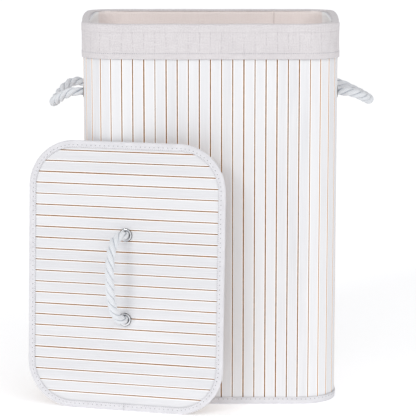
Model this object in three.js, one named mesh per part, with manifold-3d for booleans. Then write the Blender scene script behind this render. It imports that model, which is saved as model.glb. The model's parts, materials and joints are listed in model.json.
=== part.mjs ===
// Laundry hamper with a loose lid: a rounded box of upright slats on a cloth backing, a removable
// cloth liner whose cuff folds over the rim, rope handles in metal eyelets, and a slatted lid that
// stands on its short edge and leans on the hamper's front left.
// Millimetres, +Z up, +Y to the back; the origin is the middle of the hamper's underside.

import * as THREE from 'three';
import { mergeVertices } from 'three/addons/utils/BufferGeometryUtils.js';
import Module from 'manifold-3d';

const wasm = await Module();
wasm.setup();

// ---- Driving dimensions ------------------------------------------------------------------------

const WIDTH = 400;               // over the slats, left to right
const DEPTH = 300;               // over the slats, front to back
const HEIGHT = 604;              // floor to the top of the liner's cuff
const CORNER = 55;               // radius of the upright corners
const CORNER_SLATS = 6;          // the slats of a corner reach a little way along both sides
const LONG_SIDE_SLATS = 16;
const SHORT_SIDE_SLATS = 10;

const SLAT = 2.4;                // thickness of a slat
const GROOVE = 1;                // gap between two slats
const GROOVE_DEPTH = 1.5;
const CLOTH = 0.8;               // backing cloth behind the slats
const TAPE = 0.6;                // binding tape
const TAPE_REACH = 11.5;         // how far the wall's binding tape covers its edge
const WIRE = 3.6;                // hoop wire
const GAP = 0.3;                 // between pieces that touch

const LINER = 1;                 // liner cloth
const CUFF_DROP = 55;            // cuff outside the rim
const LINER_NARROWING = 14.5;    // each short side of the bag draws in by this, past the knots
const NARROW_FROM = 575;         // height where the bag starts to draw in
const NARROW_TO = 525;           // height where it has drawn in
const BAG_STEPS = 12;             // levels of the bag's cloth
const BASE_BOARD = 6;

const ROPE = 12.5;               // rope diameter
const EYELET_SPACING = 133;      // between the two ends of a handle
const EYELET_HEIGHT = 490;
const FLANGE = 20.8;             // eyelet flange diameter
const FLANGE_RISE = 1.8;         // eyelet above the slats
const KNOT = 26;                 // knot diameter
const KNOT_DEPTH = 13.5;
const ROPE_HINGE_OUT = 9;        // the rope starts to swing this far outside the slats

// Each rope loop: how far it reaches past its hinge line, how far its tip hangs below level (the
// lid's: to the left), how far the tip lies towards the far end, and for each half the power that
// the drop grows by and how far the rope first arches up.
const LEFT_LOOP = { reach: 44.9, drop: 23.8, lean: 0, halves: [[1.4, 3.3], [2.7, 3.6]] };
const RIGHT_LOOP = { reach: 48.1, drop: 19.5, lean: -3, halves: [[1.65, 1.5], [1.3, -1.5]] };
const LID_LOOP = { reach: 40, drop: 10.4, lean: -9.6, halves: [[1.6, -4], [1.6, -4]] };

const LID_LENGTH = 423;
const LID_WIDTH = 318;
const LID_CORNER = 74;
const LID_CORNER_STEPS = 10;
const LID_SLATS = 24;
const LID_FIRST_GROOVE = 25;     // from the lid's lower edge
const LID_LAST_GROOVE = 407.3;
const LID_TAPE_REACH = 11;
const LID_YAW = 14.7;            // the lid's right side is turned to the front
const LID_LEAN = 3.5;
const LID_FOOT = [-136, -190.5]; // middle of the lid's lower edge on the floor

// ---- Levels and insets that follow from them ---------------------------------------------------

const WALL = { width: WIDTH, depth: DEPTH, corner: CORNER, turns: slatTurns() };
const LID = {
  width: LID_LENGTH, depth: LID_WIDTH, corner: LID_CORNER, turns: evenTurns(LID_CORNER_STEPS),
};

const CLOTH_FACE = SLAT + GAP;                   // inset of the backing cloth's outer face
const CLOTH_BACK = CLOTH_FACE + CLOTH;           // inset of its inner face
const WIRE_FACE = CLOTH_BACK + GAP;
const TAPE_BACK = WIRE_FACE + WIRE + GAP + TAPE; // inset of the tape's inner face
const LINER_FACE = TAPE_BACK + GAP;
const CUFF_FACE = -(GAP + TAPE + GAP + LINER);   // the cuff stands proud of the slats

const TAPE_TOP = HEIGHT - LINER - GAP;
const SLAT_TOP = TAPE_TOP - TAPE - GAP;
const SLAT_BOTTOM = TAPE + GAP;
const BAG_BOTTOM = BASE_BOARD + GAP + LINER + GAP;

const WASHER = 1;
const LIP_FACE = CLOTH_BACK + GAP + WASHER + GAP; // eyelet lip behind the washer
const LIP_BACK = LIP_FACE + 0.7;
const BARREL_INNER = ROPE / 2 + GAP;
const BARREL_OUTER = BARREL_INNER + 0.6;
const BORE = BARREL_OUTER + GAP;

// ---- Finishes ----------------------------------------------------------------------------------

const finish = (color, roughness, metalness = 0) =>
  new THREE.MeshStandardMaterial({ color, roughness, metalness });

const slatWhite = finish(0xeeeef0, 0.6);
const backingCloth = finish(0xb89a78, 0.95);
const tapeWhite = finish(0xe9e7e8, 0.9);
const linerCloth = finish(0xe6dedc, 0.95);
const cuffCloth = finish(0xe4dfe0, 0.95);
const ropeCotton = finish(0xe9e9ea, 0.9);
const eyeletSteel = finish(0xc4c6c8, 0.3, 1);
const hoopSteel = finish(0x8c8f92, 0.45, 1);
const boardCard = finish(0xd8cfc2, 0.85);

// ---- Shapes ------------------------------------------------------------------------------------

// Points of a quarter outline as [angle, slide along X, slide along Y], from the right side on.
function evenTurns(steps) {
  return Array.from({ length: steps + 1 }, (_, i) => [(Math.PI / 2 / steps) * i, 0, 0]);
}

// The wall's points are the edges between its slats, which stand at equal steps all round.
function slatTurns() {
  const side = DEPTH / 2 - CORNER;
  const arc = (Math.PI / 2) * CORNER;
  const quarter = side + arc + WIDTH / 2 - CORNER;
  const pitch = quarter / (SHORT_SIDE_SLATS / 2 + CORNER_SLATS + LONG_SIDE_SLATS / 2);
  return Array.from({ length: CORNER_SLATS + 1 }, (_, i) => {
    const past = (SHORT_SIDE_SLATS / 2 + i) * pitch - side;
    if (past < 0) return [0, 0, past];
    if (past > arc) return [Math.PI / 2, arc - past, 0];
    return [past / CORNER, 0, 0];
  });
}

// Rounded rectangle, counter-clockwise, with every side moved in by inset.
function outline(plan, inset) {
  const radius = plan.corner - inset;
  const quarter = plan.turns.map(([turn, slideX, slideY]) => [
    plan.width / 2 - plan.corner + slideX + radius * Math.cos(turn),
    plan.depth / 2 - plan.corner + slideY + radius * Math.sin(turn),
  ]);
  const mirrored = [...quarter].reverse();
  return [[1, 1, quarter], [-1, 1, mirrored], [-1, -1, quarter], [1, -1, mirrored]]
    .flatMap(([x, y, corner]) => corner.map((point) =>
      new THREE.Vector2(x * point[0], y * point[1])));
}

function extrude(shape, low, high, options = {}) {
  const depth = high - low;
  const geometry = new THREE.ExtrudeGeometry(shape, { depth, bevelEnabled: false, ...options });
  return geometry.translate(0, 0, low);
}

function plate(plan, inset, low, high) {
  return extrude(new THREE.Shape(outline(plan, inset)), low, high);
}

// Upright band between two insets.
function band(plan, outerInset, innerInset, low, high, steps = 1) {
  const shape = new THREE.Shape(outline(plan, outerInset));
  shape.holes.push(new THREE.Path(outline(plan, innerInset)));
  return extrude(shape, low, high, { steps });
}

// Hoop of wire with its four edges taken off.
function hoop(plan, inset, low) {
  const bevel = WIRE * 0.28;
  const shape = new THREE.Shape(outline(plan, inset + bevel));
  shape.holes.push(new THREE.Path(outline(plan, inset + WIRE - bevel)));
  return extrude(shape, low + bevel, low + WIRE - bevel, {
    bevelEnabled: true, bevelSize: bevel, bevelThickness: bevel, bevelSegments: 1,
  });
}

function lathe(profile, segments) {
  const points = profile.map(([radius, height]) => new THREE.Vector2(radius, height));
  return new THREE.LatheGeometry(points, segments).rotateX(Math.PI / 2);
}

function solid(geometry) {
  const bare = geometry.clone();
  bare.deleteAttribute('normal');
  bare.deleteAttribute('uv');
  const merged = mergeVertices(bare, 1e-4);
  return new wasm.Manifold(new wasm.Mesh({
    numProp: 3,
    vertProperties: new Float32Array(merged.attributes.position.array),
    triVerts: new Uint32Array(merged.index.array),
  }));
}

function cut(geometry, ...tools) {
  const left = tools.reduce((body, tool) => body.subtract(solid(tool)), solid(geometry));
  return fromSolid(left);
}

function common(geometry, other) {
  return fromSolid(solid(geometry).intersect(solid(other)));
}

function fromSolid(body) {
  const { vertProperties, triVerts } = body.getMesh();
  const geometry = new THREE.BufferGeometry();
  geometry.setAttribute('position', new THREE.BufferAttribute(vertProperties, 3));
  geometry.setIndex(new THREE.BufferAttribute(triVerts, 1));
  geometry.computeVertexNormals();
  return geometry;
}

function mesh(name, geometry, material) {
  const piece = new THREE.Mesh(geometry, material);
  piece.name = name;
  return piece;
}

function group(position = [0, 0, 0], rotation = [0, 0, 0]) {
  const holder = new THREE.Group();
  holder.position.set(...position);
  holder.rotation.set(...rotation.map(THREE.MathUtils.degToRad));
  return holder;
}

// ---- Slats -------------------------------------------------------------------------------------

// Section across a run of slats. face and back hold the slats' edges on the outside and inside;
// a groove parts each two slats and leaves a thin web behind it, and the run stops half a groove
// short of both ends.
function slatSection(face, back) {
  const along = (i) => face[i + 1].clone().sub(face[i]).normalize();
  const last = face.length - 2;
  const points = [];
  for (let i = 0; i <= last; i += 1) {
    const run = along(i).multiplyScalar(GROOVE / 2);
    const inward = new THREE.Vector2(-run.y, run.x).setLength(GROOVE_DEPTH);
    const start = face[i].clone().add(run);
    const end = face[i + 1].clone().sub(run);
    if (i > 0) points.push(start.clone().add(inward));
    points.push(start, end);
    if (i < last) points.push(end.clone().add(inward));
  }
  points.push(back[last + 1].clone().sub(along(last).multiplyScalar(GROOVE / 2)));
  points.push(...back.slice(1, -1).reverse());
  points.push(back[0].clone().add(along(0).multiplyScalar(GROOVE / 2)));
  return new THREE.Shape(points);
}

function evenPoints(start, end, count) {
  return Array.from({ length: count + 1 }, (_, i) => start.clone().lerp(end, i / count));
}

// Corner and straight panels in turn round the wall, from the back right corner.
function wallPanels() {
  const names = ['corner_back_right', 'back', 'corner_back_left', 'left',
    'corner_front_left', 'front', 'corner_front_right', 'right'];
  const face = outline(WALL, 0);
  const back = outline(WALL, SLAT);
  const corner = CORNER_SLATS + 1;
  const panels = [];
  for (let quarter = 0; quarter < 4; quarter += 1) {
    const first = quarter * corner;
    const last = first + CORNER_SLATS;
    const next = (first + corner) % face.length;
    const count = quarter % 2 === 0 ? LONG_SIDE_SLATS : SHORT_SIDE_SLATS;
    const turned = slatSection(face.slice(first, last + 1), back.slice(first, last + 1));
    const straight = slatSection(
      evenPoints(face[last], face[next], count),
      [back[last], ...Array(count - 1).fill(null), back[next]].map((point, i) =>
        point ?? back[last].clone().lerp(back[next], i / count)),
    );
    panels.push([names[2 * quarter], turned], [names[2 * quarter + 1], straight]);
  }
  return panels.map(([name, section]) => [name, extrude(section, SLAT_BOTTOM, SLAT_TOP)]);
}

// ---- Rope handles and eyelets ------------------------------------------------------------------

// Rope ends, in a frame whose +Z leaves the panel through the hole.
function eyelet() {
  return lathe([
    [BARREL_INNER, -LIP_BACK], [9, -LIP_BACK], [9, -LIP_FACE], [BARREL_OUTER, -LIP_FACE],
    [BARREL_OUTER, GAP], [FLANGE / 2, GAP], [FLANGE / 2, 1.1], [9.2, FLANGE_RISE],
    [BARREL_OUTER, FLANGE_RISE], [BARREL_INNER, 1.2], [BARREL_INNER, -LIP_BACK],
  ], 16);
}

function washer() {
  const low = -(CLOTH_BACK + GAP + WASHER);
  const high = -(CLOTH_BACK + GAP);
  return lathe([[BORE, low], [10.2, low], [10.2, high], [BORE, high], [BORE, low]], 16);
}

function knottedEnd() {
  const start = -(LIP_BACK + GAP);
  const end = start - KNOT_DEPTH;
  const wide = KNOT / 2;
  return lathe([
    [0, end], [wide * 0.62, end], [wide * 0.92, end + 2], [wide, (start + end) / 2],
    [wide * 0.92, start - 2], [wide * 0.62, start], [ROPE / 2, start],
    [ROPE / 2, FLANGE_RISE + 0.4], [0, FLANGE_RISE + 0.4],
  ], 12);
}

class LoopCurve extends THREE.Curve {
  constructor(loop) {
    super();
    this.loop = loop;
  }

  getPoint(t, target = new THREE.Vector3()) {
    const { reach, drop, lean, halves } = this.loop;
    const share = Math.sin(Math.PI * t);
    const [power, rise] = halves[t < 0.5 ? 0 : 1];
    const side = (-EYELET_SPACING / 2) * Math.cos(Math.PI * t) + lean * share;
    const down = drop * share ** power - rise * Math.sin(Math.PI * share);
    return target.set(reach * share, side, -down);
  }
}

// Rope loop between its two hinge points on the Y axis, reaching out along X.
function ropeLoop(loop) {
  const section = new THREE.Shape(Array.from({ length: 10 }, (_, i) => {
    const turn = (2 * Math.PI * i) / 10;
    return new THREE.Vector2((ROPE / 2) * Math.cos(turn), (ROPE / 2) * Math.sin(turn));
  }));
  return new THREE.ExtrudeGeometry(section, { steps: 24, extrudePath: new LoopCurve(loop) });
}

// Eyelet, washer and knotted rope end at each of two places, facing out along the turn given.
function handleFixings(prefix, names, places, turn) {
  return places.flatMap((place, i) => {
    const hole = group(place, turn);
    hole.add(
      mesh(`${prefix}_eyelet_${names[i]}`, eyelet(), eyeletSteel),
      mesh(`${prefix}_washer_${names[i]}`, washer(), eyeletSteel),
      mesh(`${prefix}_knot_${names[i]}`, knottedEnd(), ropeCotton),
    );
    return hole;
  });
}

function bores(places, turn) {
  return places.map((place) => {
    const drill = new THREE.CylinderGeometry(BORE, BORE, 60, 16).rotateX(Math.PI / 2);
    const hole = group(place, turn);
    hole.updateMatrix();
    return drill.applyMatrix4(hole.matrix);
  });
}

// ---- Hamper body -------------------------------------------------------------------------------

const half = EYELET_SPACING / 2;
const sidePlaces = (x) => [[x, -half, EYELET_HEIGHT], [x, half, EYELET_HEIGHT]];
const leftPlaces = sidePlaces(-WIDTH / 2);
const rightPlaces = sidePlaces(WIDTH / 2);
const OUT_LEFT = [0, -90, 0];
const OUT_RIGHT = [0, 90, 0];
const wallBores = [...bores(leftPlaces, OUT_LEFT), ...bores(rightPlaces, OUT_RIGHT)];

function hamperWall() {
  const pieces = wallPanels().map(([name, panel]) => {
    const drilled = name === 'left' || name === 'right' ? cut(panel, ...wallBores) : panel;
    return mesh(`wall_slats_${name}`, drilled, slatWhite);
  });
  const cloth = band(WALL, CLOTH_FACE, CLOTH_BACK, SLAT_BOTTOM, SLAT_TOP);
  pieces.push(mesh('wall_backing_cloth', cut(cloth, ...wallBores), backingCloth));
  return pieces;
}

// Strip of tape that joins the two ends of the slat mat inside the back wall.
function seamTape() {
  const width = 32;
  const clear = 24;
  const height = HEIGHT - 2 * clear;
  const strip = new THREE.BoxGeometry(width, TAPE, height);
  strip.translate(-70, DEPTH / 2 - WIRE_FACE - TAPE / 2, HEIGHT / 2);
  return mesh('wall_seam_tape', strip, tapeWhite);
}

// Tape folded round the wall's upper or lower edge, over the slats, cloth and hoop.
function wallBinding(name, low, high, slotLow, slotHigh) {
  const folded = band(WALL, -(GAP + TAPE), TAPE_BACK, low, high);
  const slot = band(WALL, -GAP, TAPE_BACK - TAPE, slotLow, slotHigh);
  return mesh(name, cut(folded, slot), tapeWhite);
}

function wallEdges() {
  const above = HEIGHT;
  return [
    wallBinding('top_binding_tape', TAPE_TOP - TAPE_REACH, TAPE_TOP, 0, TAPE_TOP - TAPE),
    wallBinding('bottom_binding_tape', 0, TAPE_REACH, TAPE, above),
    mesh('top_hoop_wire', hoop(WALL, WIRE_FACE, SLAT_TOP - WIRE), hoopSteel),
    mesh('bottom_hoop_wire', hoop(WALL, WIRE_FACE, SLAT_BOTTOM), hoopSteel),
  ];
}

function sideHandle(side, places, turn, direction, loop) {
  const swing = group([direction * (WIDTH / 2 + ROPE_HINGE_OUT), 0, EYELET_HEIGHT]);
  const rope = ropeLoop({ ...loop, reach: direction * loop.reach });
  swing.add(mesh(`${side}_handle_rope`, rope, ropeCotton));
  return [...handleFixings(`${side}_handle`, ['front', 'back'], places, turn), swing];
}

// ---- Liner -------------------------------------------------------------------------------------

// The bag's short sides draw in below the rim and hang straight down past the knots.
function drawIn(geometry) {
  const place = geometry.attributes.position;
  const full = WIDTH / 2 - LINER_FACE;
  for (let i = 0; i < place.count; i += 1) {
    const fall = THREE.MathUtils.smoothstep(-place.getZ(i), -NARROW_FROM, -NARROW_TO);
    place.setX(i, place.getX(i) * (1 - (fall * LINER_NARROWING) / full));
  }
  geometry.computeVertexNormals();
  return geometry;
}

function liner() {
  const bagTop = HEIGHT - LINER - GAP;
  const inner = LINER_FACE + LINER;
  const cuff = band(WALL, CUFF_FACE, inner, HEIGHT - CUFF_DROP, HEIGHT);
  const overRim = band(WALL, CUFF_FACE + LINER, inner + 1, 0, HEIGHT - LINER);
  const bag = band(WALL, LINER_FACE, inner, BAG_BOTTOM, bagTop, BAG_STEPS);
  const floor = plate(WALL, LINER_FACE, BASE_BOARD + GAP, BASE_BOARD + GAP + LINER);
  return [
    mesh('liner_cuff', cut(cuff, overRim), cuffCloth),
    mesh('liner_side_cloth', drawIn(bag), linerCloth),
    mesh('liner_base_cloth', drawIn(floor), linerCloth),
  ];
}

// ---- Lid, drawn flat with its face up and its long side along X --------------------------------

const LID_EDGE = TAPE + GAP;                 // inset of the hoop
const LID_PANEL = LID_EDGE + WIRE + GAP;     // inset of the slats and cloth
const lidPlaces = [[-half, 0, 0], [half, 0, 0]];
const OUT_UP = [0, 0, 0];

function lidPanel() {
  const end = LID_LENGTH / 2 - LID_PANEL + GROOVE / 2;
  const upper = LID_LAST_GROOVE - LID_LENGTH / 2;
  const lower = LID_FIRST_GROOVE - LID_LENGTH / 2;
  const run = (height) => {
    const [start, high, low, stop] = [end, upper, lower, -end].map((x) => (
      new THREE.Vector2(x, height)));
    return [start, ...evenPoints(high, low, LID_SLATS - 2), stop];
  };
  const section = slatSection(run(0), run(-SLAT));
  const across = extrude(section, -LID_WIDTH / 2, LID_WIDTH / 2).rotateX(Math.PI / 2);
  const rounded = plate(LID, LID_PANEL, -2 * SLAT, SLAT);
  return common(across, rounded);
}

function lidBody() {
  const holes = bores(lidPlaces, OUT_UP);
  const clothLow = -CLOTH_BACK;
  const cloth = plate(LID, LID_PANEL, clothLow, -CLOTH_FACE);
  const folded = band(LID, 0, LID_TAPE_REACH, clothLow - GAP - TAPE, GAP + TAPE);
  const slot = band(LID, TAPE, LID_TAPE_REACH + 1, clothLow - GAP, GAP);
  return [
    mesh('lid_slats', cut(lidPanel(), ...holes), slatWhite),
    mesh('lid_backing_cloth', cut(cloth, ...holes), backingCloth),
    mesh('lid_binding_tape', cut(folded, slot), tapeWhite),
    mesh('lid_hoop_wire', hoop(LID, LID_EDGE, -(CLOTH_BACK + WIRE) / 2), hoopSteel),
    ...handleFixings('lid_handle', ['lower', 'upper'], lidPlaces, OUT_UP),
  ];
}

function lidHandle() {
  const across = group([0, 0, ROPE_HINGE_OUT], [0, 0, 90]);
  const out = group([0, 0, 0], [0, -90, 0]);
  out.add(mesh('lid_handle_rope', ropeLoop(LID_LOOP), ropeCotton));
  across.add(out);
  return across;
}

// Stands the flat lid on its short edge: its face to the front, leaning back, turned by its yaw.
function leaningLid() {
  const lean = THREE.MathUtils.degToRad(LID_LEAN);
  const up = new THREE.Vector3(0, Math.sin(lean), Math.cos(lean));
  const face = new THREE.Vector3(0, -Math.cos(lean), Math.sin(lean));
  const left = new THREE.Vector3(-1, 0, 0);
  const lid = new THREE.Group();
  lid.quaternion.setFromRotationMatrix(new THREE.Matrix4().makeBasis(up, left, face));
  lid.position.copy(up).multiplyScalar(LID_LENGTH / 2);
  lid.add(...lidBody(), lidHandle());
  const backEdge = (CLOTH_BACK + GAP + TAPE) * Math.sin(lean);
  const stand = group([...LID_FOOT, backEdge], [0, 0, -LID_YAW]);
  stand.add(lid);
  return stand;
}

// ---- The whole hamper --------------------------------------------------------------------------

const hamper = new THREE.Group();
hamper.add(
  ...hamperWall(),
  seamTape(),
  ...wallEdges(),
  mesh('base_board', plate(WALL, LINER_FACE, 0, BASE_BOARD), boardCard),
  ...sideHandle('left', leftPlaces, OUT_LEFT, -1, LEFT_LOOP),
  ...sideHandle('right', rightPlaces, OUT_RIGHT, 1, RIGHT_LOOP),
  ...liner(),
  leaningLid(),
);

export default hamper;
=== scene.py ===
import json
import math
import random

import bmesh
import bpy
from mathutils import Matrix, Vector, noise
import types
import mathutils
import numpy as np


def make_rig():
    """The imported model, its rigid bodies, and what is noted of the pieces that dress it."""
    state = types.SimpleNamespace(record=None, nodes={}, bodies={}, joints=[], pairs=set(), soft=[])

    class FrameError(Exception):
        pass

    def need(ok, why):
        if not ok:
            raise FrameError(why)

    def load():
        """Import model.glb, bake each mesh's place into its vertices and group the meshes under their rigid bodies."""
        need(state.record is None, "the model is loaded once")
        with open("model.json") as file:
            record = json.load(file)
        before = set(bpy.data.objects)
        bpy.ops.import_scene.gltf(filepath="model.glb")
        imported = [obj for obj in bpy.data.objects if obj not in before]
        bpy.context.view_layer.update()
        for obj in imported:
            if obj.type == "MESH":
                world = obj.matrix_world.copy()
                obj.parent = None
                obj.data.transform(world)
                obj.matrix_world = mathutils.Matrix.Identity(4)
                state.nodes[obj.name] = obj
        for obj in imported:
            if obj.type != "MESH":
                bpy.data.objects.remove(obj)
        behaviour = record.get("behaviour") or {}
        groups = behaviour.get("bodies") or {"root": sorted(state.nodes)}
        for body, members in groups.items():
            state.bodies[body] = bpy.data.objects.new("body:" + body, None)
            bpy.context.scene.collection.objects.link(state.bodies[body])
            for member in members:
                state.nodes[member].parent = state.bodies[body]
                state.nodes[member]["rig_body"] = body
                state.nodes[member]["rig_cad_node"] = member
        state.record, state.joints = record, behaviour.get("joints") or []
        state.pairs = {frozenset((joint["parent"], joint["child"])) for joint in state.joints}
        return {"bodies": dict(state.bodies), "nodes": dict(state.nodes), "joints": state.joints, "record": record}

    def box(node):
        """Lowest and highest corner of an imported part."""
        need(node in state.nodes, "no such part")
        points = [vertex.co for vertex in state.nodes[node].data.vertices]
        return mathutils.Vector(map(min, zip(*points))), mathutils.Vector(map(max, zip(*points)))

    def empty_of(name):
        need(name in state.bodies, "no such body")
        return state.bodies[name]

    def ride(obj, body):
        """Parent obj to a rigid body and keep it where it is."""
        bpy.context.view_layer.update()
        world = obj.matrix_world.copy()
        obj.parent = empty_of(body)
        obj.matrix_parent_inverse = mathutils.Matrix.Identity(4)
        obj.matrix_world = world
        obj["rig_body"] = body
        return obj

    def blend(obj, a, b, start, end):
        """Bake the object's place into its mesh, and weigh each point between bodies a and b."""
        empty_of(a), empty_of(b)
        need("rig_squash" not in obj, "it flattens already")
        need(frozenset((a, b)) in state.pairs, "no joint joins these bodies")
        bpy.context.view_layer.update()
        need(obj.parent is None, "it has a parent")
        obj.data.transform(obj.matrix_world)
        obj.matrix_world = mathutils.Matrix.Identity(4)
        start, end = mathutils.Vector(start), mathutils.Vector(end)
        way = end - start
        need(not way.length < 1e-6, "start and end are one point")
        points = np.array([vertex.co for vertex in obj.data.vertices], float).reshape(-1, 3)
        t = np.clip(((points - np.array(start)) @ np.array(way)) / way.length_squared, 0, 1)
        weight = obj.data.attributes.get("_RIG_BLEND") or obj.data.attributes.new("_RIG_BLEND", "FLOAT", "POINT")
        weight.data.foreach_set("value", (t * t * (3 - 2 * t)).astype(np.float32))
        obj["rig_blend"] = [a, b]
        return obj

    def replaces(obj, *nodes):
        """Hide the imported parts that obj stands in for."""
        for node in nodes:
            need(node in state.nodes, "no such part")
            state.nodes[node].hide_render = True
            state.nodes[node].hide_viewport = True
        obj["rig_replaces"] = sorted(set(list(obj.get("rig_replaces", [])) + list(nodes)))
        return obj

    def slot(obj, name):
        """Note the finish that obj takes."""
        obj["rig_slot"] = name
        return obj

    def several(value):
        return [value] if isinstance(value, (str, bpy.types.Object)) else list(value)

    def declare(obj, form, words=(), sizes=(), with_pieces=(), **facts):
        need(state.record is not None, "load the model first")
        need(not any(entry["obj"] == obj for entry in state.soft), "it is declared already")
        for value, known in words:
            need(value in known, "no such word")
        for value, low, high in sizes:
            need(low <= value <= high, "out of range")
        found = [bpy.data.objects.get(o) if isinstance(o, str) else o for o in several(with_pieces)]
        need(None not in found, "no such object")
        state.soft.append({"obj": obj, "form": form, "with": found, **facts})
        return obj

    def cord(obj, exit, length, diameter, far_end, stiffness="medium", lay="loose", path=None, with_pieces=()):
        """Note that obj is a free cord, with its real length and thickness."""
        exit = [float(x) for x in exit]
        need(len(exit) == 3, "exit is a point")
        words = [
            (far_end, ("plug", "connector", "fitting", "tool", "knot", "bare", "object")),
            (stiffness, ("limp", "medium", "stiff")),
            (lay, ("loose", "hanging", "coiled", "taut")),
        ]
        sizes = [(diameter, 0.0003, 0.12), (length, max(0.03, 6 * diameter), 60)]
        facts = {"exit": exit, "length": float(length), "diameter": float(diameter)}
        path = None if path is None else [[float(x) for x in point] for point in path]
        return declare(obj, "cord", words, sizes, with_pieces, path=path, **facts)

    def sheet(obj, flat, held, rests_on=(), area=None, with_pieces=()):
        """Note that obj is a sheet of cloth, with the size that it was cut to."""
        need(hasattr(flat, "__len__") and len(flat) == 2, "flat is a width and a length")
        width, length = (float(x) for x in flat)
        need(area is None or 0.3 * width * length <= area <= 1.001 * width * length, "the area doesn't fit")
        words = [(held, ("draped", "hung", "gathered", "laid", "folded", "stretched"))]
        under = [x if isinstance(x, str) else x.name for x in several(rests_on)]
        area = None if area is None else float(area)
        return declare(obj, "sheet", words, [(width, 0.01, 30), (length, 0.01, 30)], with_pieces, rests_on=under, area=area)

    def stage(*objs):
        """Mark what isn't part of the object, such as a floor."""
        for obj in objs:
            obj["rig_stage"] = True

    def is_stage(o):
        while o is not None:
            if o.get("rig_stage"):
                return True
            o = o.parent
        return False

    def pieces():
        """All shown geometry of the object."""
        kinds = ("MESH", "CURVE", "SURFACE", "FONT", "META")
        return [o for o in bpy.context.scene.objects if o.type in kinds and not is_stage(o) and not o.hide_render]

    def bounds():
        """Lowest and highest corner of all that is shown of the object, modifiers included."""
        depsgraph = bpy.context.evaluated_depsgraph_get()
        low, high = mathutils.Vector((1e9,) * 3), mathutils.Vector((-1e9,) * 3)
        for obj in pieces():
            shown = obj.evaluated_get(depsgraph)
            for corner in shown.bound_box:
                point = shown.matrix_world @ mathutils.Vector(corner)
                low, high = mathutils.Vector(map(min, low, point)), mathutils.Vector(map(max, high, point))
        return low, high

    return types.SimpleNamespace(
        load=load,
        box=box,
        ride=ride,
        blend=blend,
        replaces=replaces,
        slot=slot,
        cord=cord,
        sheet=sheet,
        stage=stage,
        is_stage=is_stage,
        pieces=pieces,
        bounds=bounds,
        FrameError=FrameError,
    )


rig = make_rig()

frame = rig.load()
cad_low, cad_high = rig.bounds()
scene = bpy.context.scene

# ---- Camera ----
# It stands three metres in front, a little above the rim, and looks down by ten degrees.

camera = bpy.data.objects.new("camera", bpy.data.cameras.new("camera"))
camera.data.sensor_width = 36
camera.data.lens = 172.12
camera.location = (-0.0039, -3.2121, 0.8501)
camera.rotation_euler = (math.radians(90 - 9.888), 0, 0)
scene.collection.objects.link(camera)
scene.camera = camera

# ---- Floor and light ----
# A white studio floor that runs past the horizon, a broad soft light in front, a smaller one
# that casts the shadows from the left, a weak one from the right and an even white room.


class Field:
    """A number that changes over a surface: arithmetic on it adds Math nodes to its finish."""

    def __init__(self, finish, socket):
        self.finish, self.socket = finish, socket

    def math(self, operation, *others):
        return self.finish.node("Math", {"operation": operation}, self, *others)

    def __add__(self, other):
        return self.math("ADD", other)

    def __sub__(self, other):
        return self.math("SUBTRACT", other)

    def __rsub__(self, other):
        return self.finish.node("Math", {"operation": "SUBTRACT"}, other, self)

    def __mul__(self, other):
        return self.math("MULTIPLY", other)

    def __truediv__(self, other):
        return self.math("DIVIDE", other)

    __radd__, __rmul__ = __add__, __mul__


class Finish:
    """A material: a Principled shader and the nodes that feed it."""

    def __init__(self, name, **shader):
        self.material = bpy.data.materials.new(name)
        self.material.use_nodes = True
        self.tree = self.material.node_tree
        self.shader = self.tree.nodes["Principled BSDF"]
        self.feed(self.shader, {key.replace("_", " "): value for key, value in shader.items()})

    def feed(self, node, values):
        for key, value in values.items():
            if isinstance(value, Field):
                self.tree.links.new(value.socket, node.inputs[key])
            else:
                node.inputs[key].default_value = value

    def node(self, kind, settings, *values, output=0, **named):
        made = self.tree.nodes.new("ShaderNode" + kind)
        for key, value in settings.items():
            setattr(made, key, value)
        self.feed(made, dict(enumerate(values)) | named)
        return Field(self, made.outputs[output])

    def noise(self, where, scale, detail=3.0, rough=0.5):
        return self.node("TexNoise", {}, Vector=where, Scale=scale, Detail=detail, Roughness=rough)

    def band(self, field, low, high):
        """0 below low, 1 above high, smooth between."""
        smooth = {"interpolation_type": "SMOOTHSTEP"}
        return self.node("MapRange", smooth, field, low, high)

    def blend(self, share, shade_a, shade_b):
        made = self.node("Mix", {"data_type": "RGBA"}, output=2)
        node = made.socket.node
        self.feed(node, {0: share, 6: shade_a, 7: shade_b})
        return made

    def colour(self, field):
        self.feed(self.shader, {"Base Color": field})

    def relief(self, height, depth):
        """Bump of the given depth in metres where height goes from 0 to 1."""
        bump = self.node("Bump", {}, Height=height, Distance=depth, Strength=1.0)
        self.feed(self.shader, {"Normal": bump})

    def flat_cloth(self):
        """The piece's own cloth coordinates in metres: along the piece and across it."""
        uv = self.node("UVMap", {"uv_map": "UVMap"})
        parts = self.node("SeparateXYZ", {}, uv)
        return parts, Field(self, parts.socket.node.outputs[1])

    def vector(self, x, y, z=0.0):
        return self.node("CombineXYZ", {}, x, y, z)


def dye(red, green, blue):
    """Colour from 0 to 255 display values."""
    parts = [(c / 255 / 12.92 if c < 11 else ((c / 255 + 0.055) / 1.055) ** 2.4)
             for c in (red, green, blue)]
    return (*parts, 1.0)


def piece(name, bm, finishes, body, matrix=None, smooth=True):
    """A finished mesh, in place, that rides on its body."""
    mesh = bpy.data.meshes.new(name)
    bm.to_mesh(mesh)
    bm.free()
    if matrix is not None:
        mesh.transform(matrix)
    for finish in finishes:
        mesh.materials.append(finish.material)
    mesh.polygons.foreach_set("use_smooth", [smooth] * len(mesh.polygons))
    made = bpy.data.objects.new(name, mesh)
    scene.collection.objects.link(made)
    if body:
        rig.ride(made, body)
    return made


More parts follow.
